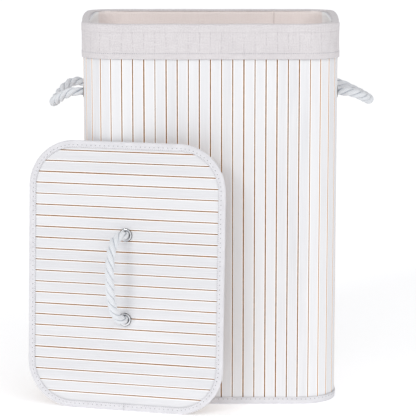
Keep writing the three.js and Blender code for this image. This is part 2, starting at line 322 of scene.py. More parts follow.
floor_paint = Finish("studio_floor", Roughness=0.9, Emission_Strength=0.30,
                     Emission_Color=(1.0, 1.0, 1.0, 1.0))
tint = floor_paint.noise(floor_paint.node("TexCoord", {}, output=3), 1.5)
floor_paint.colour(floor_paint.blend(tint, dye(251, 251, 251), dye(249, 249, 250)))
bm = bmesh.new()
bmesh.ops.create_grid(bm, x_segments=1, y_segments=1, size=30)
floor = piece("studio_floor", bm, [floor_paint], None)
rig.stage(floor)

for name, strength, spread, sideways, height in (
    ("key_light", 0.58, 16, -34, 26),
    ("front_light", 0.68, 60, 16, 36),
    ("right_light", 0.10, 50, 68, 34),
):
    light = bpy.data.objects.new(name, bpy.data.lights.new(name, "SUN"))
    light.data.energy = strength
    light.data.angle = math.radians(spread)
    side, up = math.radians(sideways), math.radians(height)
    towards = Vector((math.sin(side) * math.cos(up), -math.cos(side) * math.cos(up), math.sin(up)))
    light.rotation_euler = (-towards).to_track_quat("-Z", "Y").to_euler()
    scene.collection.objects.link(light)

room = bpy.data.worlds.new("white_room")
room.use_nodes = True
room.node_tree.nodes["Background"].inputs["Color"].default_value = (0.98, 0.985, 1.0, 1.0)
room.node_tree.nodes["Background"].inputs["Strength"].default_value = 0.58
scene.world = room
scene.view_settings.view_transform = "Standard"

# ---- Rope handles ----
# Soft white cotton rope of three strands, laid left-handed. Each piece passes through two
# eyelets and is stopped by a knot behind the panel, so the loop swings on the eyelets.

ROPE = 0.0150
STRAND = 0.0040  # radius of one strand
STRAND_OUT = 0.0036  # its centre from the rope's centre
LAY = -0.048  # length of one full twist, left-handed
HINGE_OUT = 0.009  # the loops start to swing this far outside the slats
INSIDE = 0.0062  # the rope meets its knots this far inside the slats' outer face
SPACING = 0.133
YARNS = 11  # yarns that show round one strand
GROOVE_SHADE_DEPTH = 0.0032  # painted shade darkens the grooves between strands over this depth
LOOP_STEPS = 40
STRAIGHT = (-INSIDE, -0.003, 0.0, 0.003, 0.006)  # stations of its run through an eyelet
SQUEEZED = 0.85  # share of its thickness that the rope keeps in an eyelet
GRIP, GRIP_FADE = 0.009, 0.016  # how far each end is squeezed, and fades back

rope_cotton = Finish("rope_cotton", Roughness=0.92, Sheen_Weight=0.3, Sheen_Roughness=0.5)
along, across = rope_cotton.flat_cloth()
yarns = (across * (YARNS / STRAND) + along * 190.0).math("SINE") * 0.5 + 0.5
fuzz = rope_cotton.noise(rope_cotton.vector(along * 260, across * 1500), 1.0, detail=4)
shade = rope_cotton.noise(rope_cotton.vector(along * 55, across * 120), 1.0, detail=2)
# painted shade: the rope is painted darker in the grooves between its strands
groove = rope_cotton.node("Attribute", {"attribute_name": "groove"}, output=2)
plump = rope_cotton.blend(
    rope_cotton.band(yarns * 0.35 + fuzz * 0.4 + shade * 0.25, 0.25, 0.75),
    dye(214, 217, 221), dye(235, 237, 240))
rope_cotton.colour(rope_cotton.blend(
    rope_cotton.band(groove, 0.45, 0.95), plump, dye(162, 169, 179)))
rope_cotton.relief(yarns * 0.5 + fuzz * 0.5, 0.00028)


class Route:
    """A smooth line through points, with a frame that doesn't twist."""

    def __init__(self, points):
        self.points = [Vector(p) for p in points]
        self.far = [0.0]
        for a, b in zip(self.points, self.points[1:]):
            self.far.append(self.far[-1] + (b - a).length)
        self.length = self.far[-1]
        last = len(self.points) - 1
        self.tangents = [(self.points[min(i + 1, last)] - self.points[max(i - 1, 0)]).normalized()
                         for i in range(last + 1)]
        side = self.tangents[0].orthogonal().normalized()
        self.sides = [side]
        for a, b in zip(self.tangents, self.tangents[1:]):
            side = a.rotation_difference(b) @ side
            side = (side - side.dot(b) * b).normalized()
            self.sides.append(side)

    def at(self, distance):
        distance = min(max(distance, 0.0), self.length)
        i = min(sum(far <= distance for far in self.far), len(self.far) - 1)
        share = (distance - self.far[i - 1]) / (self.far[i] - self.far[i - 1])
        point = self.points[i - 1].lerp(self.points[i], share)
        tangent = self.tangents[i - 1].lerp(self.tangents[i], share).normalized()
        side = self.sides[i - 1].lerp(self.sides[i], share).normalized()
        return point, tangent, side, tangent.cross(side)


def rolled(cells, size, place, closed=True):
    """A flat grid of cloth, size in metres, rolled into shape: place(u, v) gives each point.
    Its UV map keeps the flat sheet's metres, and edges that meet are joined."""
    bm = bmesh.new()
    bmesh.ops.create_grid(bm, x_segments=cells[0], y_segments=cells[1], size=0.5)
    uv = bm.loops.layers.uv.new("UVMap")
    for vertex in bm.verts:
        u, v = (vertex.co.x + 0.5) * size[0], (vertex.co.y + 0.5) * size[1]
        for loop in vertex.link_loops:
            loop[uv].uv = (u, v)
        vertex.co = place(u, v)
    if closed:
        bmesh.ops.remove_doubles(bm, verts=bm.verts, dist=1e-6)
    bmesh.ops.recalc_face_normals(bm, faces=bm.faces)
    return bm


def merge(one, whole):
    """Adds one mesh in the making to another and lets go of it."""
    part = bpy.data.meshes.new("part")
    one.to_mesh(part)
    one.free()
    whole.from_mesh(part)
    bpy.data.meshes.remove(part)


def laid_rope(route, slim):
    """Three strands twisted round a route; slim(distance) thins the rope where it is gripped."""
    whole = bmesh.new()
    steps = round(route.length / 0.0016)
    for strand in range(3):
        def place(u, v, turn=strand * math.tau / 3):
            point, tangent, side, other = route.at(u)
            twist = turn + math.tau * u / LAY
            out = math.cos(twist) * side + math.sin(twist) * other
            round_way = tangent.cross(out)
            lean = (tangent + (math.tau * STRAND_OUT / LAY) * round_way).normalized()
            edge = v / STRAND
            ring = math.cos(edge) * out + math.sin(edge) * lean.cross(out)
            swell = 1 + 0.05 * noise.noise(Vector((u * 60, strand * 5.0, edge)))
            return point + slim(u) * (STRAND_OUT * out + STRAND * swell * ring)
        one = rolled((steps, 16), (route.length, math.tau * STRAND), place)
        # how deep in the grooves each point lies, which sets its painted shade
        depth = one.verts.layers.float.new("groove")
        for vertex in one.verts:
            gap = min((vertex.co - spot).length for spot in route.points)
            vertex[depth] = min(1.0, max(0.0, (STRAND_OUT + STRAND - gap) / GROOVE_SHADE_DEPTH))
        bmesh.ops.holes_fill(one, edges=[e for e in one.edges if e.is_boundary], sides=20)
        bmesh.ops.recalc_face_normals(one, faces=one.faces)
        merge(one, whole)
    return whole


def handle_route(hole, out, along, down, reach, drop, lean, halves):
    """From knot to knot: straight out through one eyelet, round the loop and back in. hole is
    the middle between the eyelets. The loop reaches out and hangs down, its tip leans along,
    and each half has the power that its drop grows by and how far it first arches up."""
    line = [(x, -SPACING / 2, 0.0) for x in STRAIGHT]
    for i in range(LOOP_STEPS + 1):
        share = math.sin(math.pi * i / LOOP_STEPS)
        power, rise = halves[0 if i < LOOP_STEPS / 2 else 1]
        line.append((HINGE_OUT + reach * share,
                     -SPACING / 2 * math.cos(math.pi * i / LOOP_STEPS) + lean * share,
                     drop * share ** power - rise * math.sin(math.pi * share)))
    line += [(x, SPACING / 2, 0.0) for x in reversed(STRAIGHT)]
    return [hole + out * x + along * y + down * z for x, y, z in line]


def gripped(length):
    """Rope is squeezed a little where it goes through its eyelets."""
    def slim(u):
        near = min(u, length - u)
        return SQUEEZED + (1 - SQUEEZED) * min(1.0, max(0.0, (near - GRIP) / GRIP_FADE))
    return slim


def rope_handle(name, body, parent, node, points, out, hinge):
    route = Route(points)
    rope = piece(name, laid_rope(route, gripped(route.length)), [rope_cotton], None)
    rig.replaces(rope, node)
    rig.slot(rope, "rope")
    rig.blend(rope, parent, body, start=hinge - out * 0.004, end=hinge + out * 0.006)
    return rope, route


joints = {joint["name"]: joint for joint in frame["joints"]}
ropes = []
for side, out_x, reach, drop, lean, halves in (
    ("left", -1, 0.0449, 0.0238, 0.0, ((1.4, 0.0033), (2.7, 0.0036))),
    ("right", 1, 0.0481, 0.0195, -0.003, ((1.65, 0.0015), (1.3, -0.0015))),
):
    hinge = Vector(joints[f"{side}_handle_swing"]["pos_m"])
    out = Vector((out_x, 0, 0))
    points = handle_route(hinge - out * HINGE_OUT, out, Vector((0, 1, 0)), Vector((0, 0, -1)),
                          reach, drop, lean, halves)
    ropes.append((f"rope_{side}", *rope_handle(
        f"rope_{side}", f"{side}_handle", "hamper", f"{side}_handle_rope", points, out, hinge)))

lid_hinge = Vector(joints["lid_handle_swing"]["pos_m"])
lid_up = Vector(joints["lid_handle_swing"]["axis"]).normalized()
lid_left = Vector((0, 0, 1)).cross(lid_up).normalized()
lid_out = lid_up.cross(lid_left)
lid_middle = lid_hinge - lid_out * HINGE_OUT
points = handle_route(lid_middle, lid_out, -lid_up, lid_left, 0.040, 0.0104, -0.0096,
                      ((1.6, -0.004), (1.6, -0.004)))
ropes.append(("rope_lid", *rope_handle(
    "rope_lid", "lid_handle", "lid", "lid_handle_rope", points, lid_out, lid_hinge)))

# ---- Eyelets, washers and knots ----
# Bright nickel-plated steel eyelets, rolled over a washer behind the cloth, with painted shade
# where their edges curl under. Behind each one the rope ends in a flat stopper knot, pulled up tight.

FLANGE = 0.0104  # radius of the eyelet's outer rim
BARREL = 0.00655  # radius of its bore
LIP = 0.0011  # how tightly both rims roll over
FLANGE_SHADE_WIDTH, BARREL_SHADE_WIDTH = 0.0012, 0.0009  # how wide each rim's band of painted shade is
KNOT_SIZE = 0.00272  # metres in one unit of the knot's curve
KNOT_ROPE = 0.0047  # radius of the rope where the knot squeezes it
KNOT_BACK = 0.0129  # from the slats' outer face in to the knot's middle

nickel = Finish("nickel_plate", Metallic=1.0, Roughness=0.22)
where = nickel.node("TexCoord", {}, output=3)
scuffs = nickel.noise(where, 900.0, detail=6, rough=0.7)
clouds = nickel.noise(where, 160.0)
edge = nickel.node("Attribute", {"attribute_name": "rolled_edge"}, output=2)
bright = nickel.blend(clouds, dye(226, 227, 229), dye(244, 244, 246))
# painted shade: the rims are painted near-black where they curl under
nickel.colour(nickel.blend(nickel.band(edge, 0.2, 0.75), bright, dye(34, 33, 34)))
nickel.feed(nickel.shader, {"Roughness": nickel.band(scuffs, 0.3, 0.8) * 0.2 + 0.10})
nickel.relief(scuffs, 0.00005)


def turned(profile, steps=48):
    """A ring turned round Z from a closed section of (radius, height) points."""
    bm = bmesh.new()
    rim = [bm.verts.new((radius, 0, height)) for radius, height in profile]
    edges = [bm.edges.new(pair) for pair in zip(rim, rim[1:] + rim[:1])]
    bmesh.ops.spin(bm, geom=rim + edges, cent=(0, 0, 0), axis=(0, 0, 1), angle=math.tau,
                   steps=steps, use_merge=True, use_duplicate=False)
    bmesh.ops.recalc_face_normals(bm, faces=bm.faces)
    edge = bm.verts.layers.float.new("rolled_edge")
    for vertex in bm.verts:
        radius = vertex.co.xy.length
        # how far into its rim's band of painted shade each point lies
        curl = max((radius - FLANGE + FLANGE_SHADE_WIDTH) / FLANGE_SHADE_WIDTH,
                   (BARREL + BARREL_SHADE_WIDTH - radius) / BARREL_SHADE_WIDTH)
        vertex[edge] = min(1.0, max(0.0, curl))
    return bm


def arc(cx, cy, radius, start, end, count):
    """Points of a section's round stretch, in degrees."""
    turns = [math.radians(start + (end - start) * i / count) for i in range(count + 1)]
    return [(cx + radius * math.cos(t), cy + radius * math.sin(t)) for t in turns]


EYELET = (
    [(BARREL + 0.0006, -0.0051), (BARREL + 0.0006, 0.0003), (FLANGE, 0.0003)]
    + arc(FLANGE - LIP, 0.0007, LIP, 0, 90, 5)
    + arc(BARREL + LIP, 0.0007, LIP, 90, 180, 6)
    + [(BARREL, -0.0052)]
    + [(BARREL + 0.0004, -0.0058), (0.0086, -0.0058), (0.0090, -0.0054), (0.0088, -0.0051)]
)
WASHER = [(0.00745, -0.0048), (0.0100, -0.0048), (0.0102, -0.0046), (0.0102, -0.0040),
          (0.0100, -0.0038), (0.00745, -0.0038)]


def knot_line(turn):
    """Middle line of a tight knot: one round of rope passed through itself and flattened."""
    return Vector((math.sin(turn) + 2 * math.sin(2 * turn),
                   math.cos(turn) - 2 * math.cos(2 * turn), -1.15 * math.sin(3 * turn)))


def knot_place(u, v):
    """The rope's round section, with its three strands, carried along the knot."""
    turn = math.tau * u
    middle = knot_line(turn)
    run = (knot_line(math.tau * (u + 0.001)) - middle).normalized()
    side = run.cross(Vector((0, 0, 1))).normalized()
    lift = side.cross(run)
    edge = math.tau * v
    strands = 1 + 0.10 * math.cos(3 * edge + 9 * turn)
    ring = math.cos(edge) * side + math.sin(edge) * lift
    return KNOT_SIZE * middle + KNOT_ROPE * strands * ring


holes = {}


def fixings(side, ends, hinge, out, along, body):
    """Eyelet, washer and knot at the two ends of one handle; holes keeps where they sit."""
    turn = out.to_track_quat("Z", "Y").to_matrix().to_4x4()
    holes[side] = []
    for end, way in zip(ends, (-1, 1)):
        hole = hinge - out * HINGE_OUT + along * (way * SPACING / 2)
        matrix = Matrix.Translation(hole) @ turn
        holes[side].append(matrix)
        prefix = f"{side}_handle"
        eyelet = piece(f"eyelet_{side}_{end}", turned(EYELET), [nickel], body, matrix)
        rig.replaces(eyelet, f"{prefix}_eyelet_{end}")
        washer = piece(f"washer_{side}_{end}", turned(WASHER), [nickel], body, matrix, False)
        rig.replaces(washer, f"{prefix}_washer_{end}")
        sunk = matrix @ Matrix.Translation((0, 0, -KNOT_BACK)) @ Matrix.Rotation(way, 4, "Z")
        knot_mesh = rolled((150, 18), (1.0, 1.0), knot_place)
        knot = piece(f"knot_{side}_{end}", knot_mesh, [rope_cotton], body, sunk)
        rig.replaces(knot, f"{prefix}_knot_{end}")
        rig.slot(eyelet, "eyelet_steel")
        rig.slot(washer, "eyelet_steel")
        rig.slot(knot, "rope")


for side, out_x in (("left", -1), ("right", 1)):
    hinge = Vector(joints[f"{side}_handle_swing"]["pos_m"])
    fixings(side, ("front", "back"), hinge, Vector((out_x, 0, 0)), Vector((0, 1, 0)), "hamper")
fixings("lid", ("lower", "upper"), lid_hinge, lid_out, lid_up, "lid")

for name, rope, route in ropes:
    side = name.split("_")[1]
    ends = ("lower", "upper") if side == "lid" else ("front", "back")
    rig.cord(rope, exit=route.points[0], length=route.length, diameter=ROPE, far_end="object",
            stiffness="stiff", lay="hanging", path=route.points,
            with_pieces=[f"knot_{side}_{end}" for end in ends])

# ---- Slat wall ----
# Seventy-six bamboo slats stand side by side round the wall. Their faces and edges are stained
# white before they are glued to the cloth; the cut sides between them stay bare. A near-white
# band along both face edges of each slat is a painted highlight.

low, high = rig.box("wall_backing_cloth")
PANEL_LOW, PANEL_HIGH = low.z, high.z
SLAT = 0.0024  # thickness of the strip that a slat is cut from
PLANED = 0.8  # share of that thickness that is left
SLAT_EDGE = 0.00055  # width of the cut along its two face edges
SLAT_CELLS = 24  # steps along a slat
GROOVE = 0.0014  # gap between two slats
WALL_TONES = (0.45, 1.0)  # range of the stain, 0 dark and 1 light
WALL_HALF = (-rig.box("wall_slats_left")[0].x, -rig.box("wall_slats_front")[0].y)
WALL_CORNER = 0.055
CORNER_SLATS, LONG_SLATS, SHORT_SLATS = 6, 16, 10

stained = Finish("white_stained_bamboo", Roughness=0.5, Coat_Weight=0.12, Coat_Roughness=0.4)
across, along = stained.flat_cloth()
tone = stained.node("Attribute", {"attribute_name": "slat_tone"}, output=2)
streaks = stained.noise(stained.vector(across * 1500, along * 16, tone * 40), 1.0, detail=4)
fibres = stained.noise(stained.vector(across * 4200, along * 45, tone * 40), 1.0, detail=2)
clouds = stained.noise(stained.vector(across * 50, along * 6, tone * 40), 1.0, detail=2)
body_shade = stained.blend(
    stained.band(clouds * 0.5 + tone * 0.5, 0.25, 0.8), dye(217, 217, 220), dye(232, 232, 234))
grained = stained.blend(
    stained.band(streaks, 0.38, 0.72) * 0.35, body_shade, dye(240, 240, 241))
worn = stained.band(fibres, 0.68, 0.80) * stained.band(clouds, 0.5, 0.7)
faces = stained.blend(worn * 0.18, grained, dye(214, 203, 190))
# painted highlight: a near-white band along both face edges of each slat
side = stained.node("Attribute", {"attribute_name": "slat_side"}, output=2).math("ABSOLUTE")
stained.colour(stained.blend(stained.band(side, 0.74, 0.90) * 0.9, faces, dye(252, 252, 252)))
stained.feed(stained.shader, {"Roughness": streaks * 0.2 + 0.42})
stained.relief(streaks * 0.7 + fibres * 0.3, 0.00012)

bare = Finish("bare_bamboo", Roughness=0.75)
across, along = bare.flat_cloth()
tone = bare.node("Attribute", {"attribute_name": "slat_tone"}, output=2)
streaks = bare.noise(bare.vector(across * 1800, along * 9, tone * 30), 1.0, detail=4)
bare.colour(bare.blend(streaks * 0.6 + tone * 0.4, dye(216, 164, 110), dye(242, 204, 158)))
bare.relief(streaks, 0.0002)


class Plan:
    """A rounded rectangle, walked round counter-clockwise from a start that is this far past
    the middle of its front side."""

    def __init__(self, half, corner, start=0.0):
        self.half, self.corner, self.start = half, corner, start
        self.core = (half[0] - corner, half[1] - corner)
        self.length = 4 * (self.core[0] + self.core[1]) + math.tau * corner

    def at(self, distance, out=0.0):
        """Point at a distance along the outline, moved out, and the outward direction."""
        distance = (distance + self.start) % self.length
        x, y = self.core
        quarter = math.tau / 4 * self.corner
        runs = ((x, Vector((0, -y)), (1, 0), 0), (quarter, Vector((x, -y)), None, -90),
                (2 * y, Vector((x, -y)), (0, 1), 0), (quarter, Vector((x, y)), None, 0),
                (2 * x, Vector((x, y)), (-1, 0), 0), (quarter, Vector((-x, y)), None, 90),
                (2 * y, Vector((-x, y)), (0, -1), 0), (quarter, Vector((-x, -y)), None, 180),
                (x, Vector((-x, -y)), (1, 0), 0))
        for length, start, way, turn in runs:
            if distance <= length:
                break
            distance -= length
        if way is None:
            angle = math.radians(turn) + distance / self.corner
            face = Vector((math.cos(angle), math.sin(angle)))
            middle = start
        else:
            face = Vector((way[1], -way[0]))
            middle = start + distance * Vector(way)
        return middle + face * (self.corner + out), face


def slat(bm, width, length, cells, serial, tones, shape):
    """One slat, X across it, Y through it with its face at 0, Z along it from 0. Its stain is
    between the two tones, and shape moves each point into place after its grain is laid out."""
    dice = random.Random(serial)
    tone = dice.uniform(*tones)
    one = bmesh.new()
    bmesh.ops.create_cube(one, size=1.0)
    bmesh.ops.translate(one, verts=one.verts, vec=(0, 0.5, 0.5))
    bmesh.ops.scale(one, verts=one.verts, vec=(width, SLAT, length))
    upright = [e for e in one.edges if abs(e.verts[0].co.z - e.verts[1].co.z) > length / 2]
    bmesh.ops.bevel(one, geom=[e for e in upright if e.verts[0].co.y < SLAT / 2], offset=SLAT_EDGE,
                    affect="EDGES", segments=2, profile=0.5, material=-1)
    upright = [e for e in one.edges if abs(e.verts[0].co.z - e.verts[1].co.z) > length / 2]
    bmesh.ops.subdivide_edges(one, edges=upright, cuts=cells, use_grid_fill=True)
    uv = one.loops.layers.uv.new("UVMap")
    mark = one.verts.layers.float.new("slat_tone")
    side = one.verts.layers.float.new("slat_side")
    for face in one.faces:
        sides = abs(face.normal.x) > 0.9 or face.normal.y > 0.9
        face.material_index = 1 if sides else 0
        for loop in face.loops:
            co = loop.vert.co
            loop[uv].uv = (co.x + co.y + serial * 0.031, co.z + tone * 3)
    for vertex in one.verts:
        vertex[mark] = tone
        vertex[side] = vertex.co.x / (width / 2)
        vertex.co = shape(vertex.co.copy())
    merge(one, bm)


def wall_panel(bm, edges, serial):
    """Slats that stand between each two neighbouring edge points; serial numbers them."""
    for start, end in zip(edges, edges[1:]):
        serial += 1
        run = (end - start).normalized()
        inward = Vector((-run.y, run.x))
        middle = (start + end) / 2
        dice = random.Random(serial * 7)
        shift, sink = dice.uniform(-1, 1) * 0.00015, dice.uniform(0, 1) * 0.00018

        def stand(co, serial=serial):
            bow = 0.00028 * noise.noise(Vector((serial * 3.7, co.z * 3.0, 0)))
            deep = 0.00030 * (0.5 + 0.5 * noise.noise(Vector((co.z * 4.0, serial * 2.1, 5))))
            flat = middle + run * (co.x + shift + bow) + inward * (co.y * PLANED + sink + deep)
            return Vector((flat.x, flat.y, PANEL_LOW + co.z))

        width = (end - start).length - GROOVE * dice.uniform(0.85, 1.25)
        slat(bm, width, PANEL_HIGH - PANEL_LOW, SLAT_CELLS, serial, WALL_TONES, stand)


def drilled(target, places, radius):
    """Round holes through a piece, cut by a boolean and applied."""
    bm = bmesh.new()
    for matrix in places:
        bmesh.ops.create_cone(bm, cap_ends=True, segments=40, radius1=radius, radius2=radius,
                              depth=0.06, matrix=matrix)
    drill = piece("drill", bm, [], None)
    cut = target.modifiers.new("holes", "BOOLEAN")
    cut.operation, cut.solver, cut.object = "DIFFERENCE", "EXACT", drill
    bpy.context.view_layer.update()
    done = bpy.data.meshes.new_from_object(
        target.evaluated_get(bpy.context.evaluated_depsgraph_get()))
    target.modifiers.clear()
    target.data = done
    bpy.data.objects.remove(drill)


BORE = 0.00745  # radius of the holes that the eyelets sit in
wall = Plan(WALL_HALF, WALL_CORNER)
pitch = wall.length / (4 * CORNER_SLATS + 2 * LONG_SLATS + 2 * SHORT_SLATS)
mark = -LONG_SLATS // 2
for name, count in (("front", LONG_SLATS), ("corner_front_right", CORNER_SLATS),
                    ("right", SHORT_SLATS), ("corner_back_right", CORNER_SLATS),
                    ("back", LONG_SLATS), ("corner_back_left", CORNER_SLATS),
                    ("left", SHORT_SLATS), ("corner_front_left", CORNER_SLATS)):
    bm = bmesh.new()
    wall_panel(bm, [wall.at((mark + i) * pitch)[0] for i in range(count + 1)], mark + 100)
    mark += count
    slats = piece(f"slats_{name}", bm, [stained, bare], None, smooth=False)
    if name in holes:
        drilled(slats, holes[name], BORE)
    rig.ride(slats, "hamper")
    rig.replaces(slats, f"wall_slats_{name}")
    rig.slot(slats, "slat_white")

# ---- Wall cloth, seam tape and hoops ----
# Tan non-woven cloth is glued behind the slats and shows in the gaps between them. A white tape
# joins the mat's ends inside the back wall, and spring-steel hoops keep the rounded shape.


def thick(target, depth):
    """Gives a sheet its thickness, half to each side."""
    wall = target.modifiers.new("thickness", "SOLIDIFY")
    wall.thickness, wall.offset = depth, 0.0


FELT = 0.0007
FELT_IN = 0.0032  # from the slats' outer face in to the cloth's middle
SEAM = 0.107  # the back seam's place, right of the middle
wall.start = wall.length / 2 - SEAM

felt = Finish("tan_backing_cloth", Roughness=0.95, Sheen_Weight=0.15)
along, across = felt.flat_cloth()
fibres = felt.noise(felt.vector(along * 1600, across * 1600), 1.0, detail=5, rough=0.7)
mats = felt.noise(felt.vector(along * 120, across * 120), 1.0, detail=3)
felt.colour(felt.blend(
    felt.band(fibres * 0.6 + mats * 0.4, 0.3, 0.7), dye(160, 116, 74), dye(226, 182, 134)))
felt.relief(fibres, 0.0003)

mat_height = PANEL_HIGH - PANEL_LOW
backing = piece("wall_cloth", rolled((160, 24), (wall.length, mat_height), lambda u, v: Vector(
    (*wall.at(u, -FELT_IN)[0], PANEL_LOW + v))), [felt], None)
thick(backing, FELT)
drilled(backing, holes["left"] + holes["right"], BORE)
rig.ride(backing, "hamper")
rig.replaces(backing, "wall_backing_cloth")
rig.slot(backing, "backing_cloth")
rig.sheet(backing, flat=(wall.length, mat_height), held="stretched", rests_on=["slats_front"])

twill = Finish("white_twill_tape", Roughness=0.88, Sheen_Weight=0.2)
along, across = twill.flat_cloth()
ribs = ((along + across) * 5200.0).math("SINE") * 0.5 + 0.5
threads = twill.noise(twill.vector(along * 1300, across * 1300), 1.0, detail=4)
soil = twill.noise(twill.vector(along * 60, across * 160), 1.0)
twill.colour(twill.blend(
    twill.band(threads * 0.6 + soil * 0.4, 0.3, 0.7), dye(219, 218, 222), dye(237, 236, 239)))
twill.relief(ribs * 0.5 + threads * 0.5, 0.00035)

low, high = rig.box("wall_seam_tape")
seam_size = (high.x - low.x, high.z - low.z)
seam = piece("seam_tape", rolled((16, 90), seam_size, lambda u, v: Vector((
    low.x + u + 0.0008 * noise.noise(Vector((0, v * 9, 3))),
    (low.y + high.y) / 2 - 0.0002 * abs(noise.noise(Vector((u * 60, v * 30, 0)))),
    low.z + v))), [twill], "hamper")
thick(seam, 0.0005)
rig.replaces(seam, "wall_seam_tape")
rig.slot(seam, "binding_tape")
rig.sheet(seam, flat=seam_size, held="stretched", rests_on=["wall_cloth"])

wire_steel = Finish("spring_wire", Metallic=1.0, Roughness=0.35)
where = wire_steel.node("TexCoord", {}, output=3)
drawn = wire_steel.noise(where, 700.0, detail=5)
wire_steel.colour(wire_steel.blend(drawn, dye(128, 130, 134), dye(178, 180, 183)))
wire_steel.relief(drawn, 0.00005)
WIRE = 0.0018  # radius


def hoop(name, plan, inset, height, body, node, matrix=None):
    """A round wire bent to a plan and welded end to end."""
    def place(u, v):
        turn = v / WIRE
        point = plan.at(u, WIRE * math.cos(turn) - inset)[0]
        return Vector((*point, height + WIRE * math.sin(turn)))
    mesh = rolled((160, 12), (plan.length, math.tau * WIRE), place)
    ring = piece(name, mesh, [wire_steel], body, matrix)
    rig.replaces(ring, node)
    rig.slot(ring, "hoop_steel")


for end in ("top", "bottom"):
    low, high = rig.box(f"{end}_hoop_wire")
    inset = WALL_HALF[0] - high.x + WIRE
    hoop(f"hoop_{end}", wall, inset, (low.z + high.z) / 2, "hamper", f"{end}_hoop_wire")

# ---- Binding tapes of the wall ----
# White twill tape is folded over both edges of the mat, hoop and all, and sewn through with a
# long straight stitch; only the lower one's stitches are drawn. The lower one's end laps over its start on the right
# of the front.

# painted shade: a dark grey disc stands in for the shade in each needle hole
needle_hole = Finish("needle_hole", Roughness=0.95)
where = needle_hole.node("TexCoord", {}, output=3)
needle_hole.colour(needle_hole.blend(
    needle_hole.noise(where, 900.0), dye(140, 139, 143), dye(178, 177, 181)))
thread = Finish("sewing_thread", Roughness=0.7, Sheen_Weight=0.2)
where = thread.node("TexCoord", {}, output=3)
ply = thread.noise(where, 2600.0, detail=2)
thread.colour(thread.blend(ply, dye(214, 214, 219), dye(240, 240, 243)))
thread.relief(ply, 0.0002)
PUCKER = 0.00018
LAP_RISE, LAP_LENGTH = 0.0008, 0.018
LAP_PLACE = 0.1296  # right of the front's middle
STITCH_PITCH = 0.0073
TAPE_TURN = 0.0019  # radius of the tape's two bends


def fold_path(fold):
    """Route of (out, height) points that a folded strip's width follows."""
    return Route([Vector((x, y, 0)) for x, y in fold])


def folded_tape(name, plan, fold, cells, body, node, matrix=None, lap=None):
    """Tape wrapped round a plan's edge: fold is its section as (out, height) points. The face
    puckers a little along the seam, and lap is where its end lies over its start."""
    path = fold_path(fold)

    def place(u, v):
        point, tangent, _, _ = path.at(v)
        away = Vector((tangent.y, -tangent.x))
        lift = away * PUCKER * noise.noise(Vector((u * 70, v * 200, 0)))
        if lap is not None:
            over = (u - lap + 0.002 * math.sin(v * 260)) / LAP_LENGTH
            lift += away * (LAP_RISE * (1 - over) if 0 < over < 1 else 0)
        flat = plan.at(u, point.x + lift.x)[0]
        return Vector((*flat, point.y + lift.y))

    tape = piece(name, rolled(cells, (plan.length, path.length), place), [twill], body, matrix)
    thick(tape, 0.0006)
    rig.replaces(tape, node)
    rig.slot(tape, "binding_tape")
    return tape, path.length


def stitches(name, count, place, body, slot_name, matrix=None, length=0.0052, girth=0.00038):
    """A row of stitches: each a short bowed thread, sunk at both ends, and a dark disc of painted
    shade for the needle hole after it. place(i) gives the stitch's middle, its run and the way out
    of the cloth."""
    bm = bmesh.new()
    for centre, half, finish in (
        (0, (length / 2, girth, girth), 0),
        (length / 2 + 1.6 * girth, (1.9 * girth, 1.9 * girth, 0.8 * girth), 1),
    ):
        made = bmesh.ops.create_uvsphere(bm, u_segments=6, v_segments=5, radius=1.0)
        bmesh.ops.rotate(bm, verts=made["verts"], cent=(0, 0, 0),
                         matrix=Matrix.Rotation(math.pi / 2, 3, "Y"))
        bmesh.ops.scale(bm, verts=made["verts"], vec=half)
        bmesh.ops.translate(bm, verts=made["verts"], vec=(centre, 0, 0))
        for face in {f for vertex in made["verts"] for f in vertex.link_faces}:
            face.material_index = finish
    one = bpy.data.meshes.new("stitch")
    bm.to_mesh(one)
    bm.clear()
    for i in range(count):
        middle, run, out = place(i)
        matrix_in = Matrix((run, run.cross(out), out)).transposed().to_4x4()
        matrix_in = Matrix.Translation(middle) @ matrix_in
        one.transform(matrix_in)
        bm.from_mesh(one)
        one.transform(matrix_in.inverted())
    bpy.data.meshes.remove(one)
    row = piece(name, bm, [thread, needle_hole], body, matrix)
    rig.slot(row, slot_name)
    return row


def stitch_row(plan, inset, height, pitch, out_way):
    """How many stitches go round a plan, and where each one lies."""
    count = round(plan.length / pitch)

    def place(i):
        here, face = plan.at((i + 0.5) * plan.length / count, -inset)
        ahead = plan.at((i + 0.55) * plan.length / count, -inset)[0]
        run = Vector((*(ahead - here), 0)).normalized()
        out = Vector((0, 0, out_way)) if out_way else Vector((*face, 0))
        return Vector((*here, height)), run, out

    return count, place


low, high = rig.box("bottom_binding_tape")
tape_top = high.z
outside, inside = 0.0006, -0.0084
bottom_fold = (
    [(outside, tape_top), (outside, 0.0022)]
    + arc(outside - TAPE_TURN, 0.0022, TAPE_TURN, 0, -90, 5)[1:]
    + arc(inside + TAPE_TURN, 0.0022, TAPE_TURN, -90, -180, 5)
    + [(inside, tape_top)]
)
bottom_tape, bottom_width = folded_tape(
    "tape_bottom", wall, bottom_fold, (420, 26), "hamper", "bottom_binding_tape",
    lap=(LAP_PLACE - wall.start) % wall.length)
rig.sheet(bottom_tape, flat=(wall.length, bottom_width), held="folded", rests_on=["slats_front"])
count, place = stitch_row(wall, -0.00095, tape_top - 0.0030, STITCH_PITCH, 0)
stitches("tape_bottom_stitches", count, place, "hamper", "binding_tape")

low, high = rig.box("top_binding_tape")
turn_height = high.z - 0.0003 - TAPE_TURN
top_fold = (
    [(outside, low.z), (outside, turn_height)]
    + arc(outside - TAPE_TURN, turn_height, TAPE_TURN, 0, 90, 5)[1:]
    + arc(inside + TAPE_TURN, turn_height, TAPE_TURN, 90, 180, 5)
    + [(inside, low.z)]
)
top_tape, top_width = folded_tape(
    "tape_top", wall, top_fold, (320, 22), "hamper", "top_binding_tape")
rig.sheet(top_tape, flat=(wall.length, top_width), held="folded", rests_on=["slats_front"])

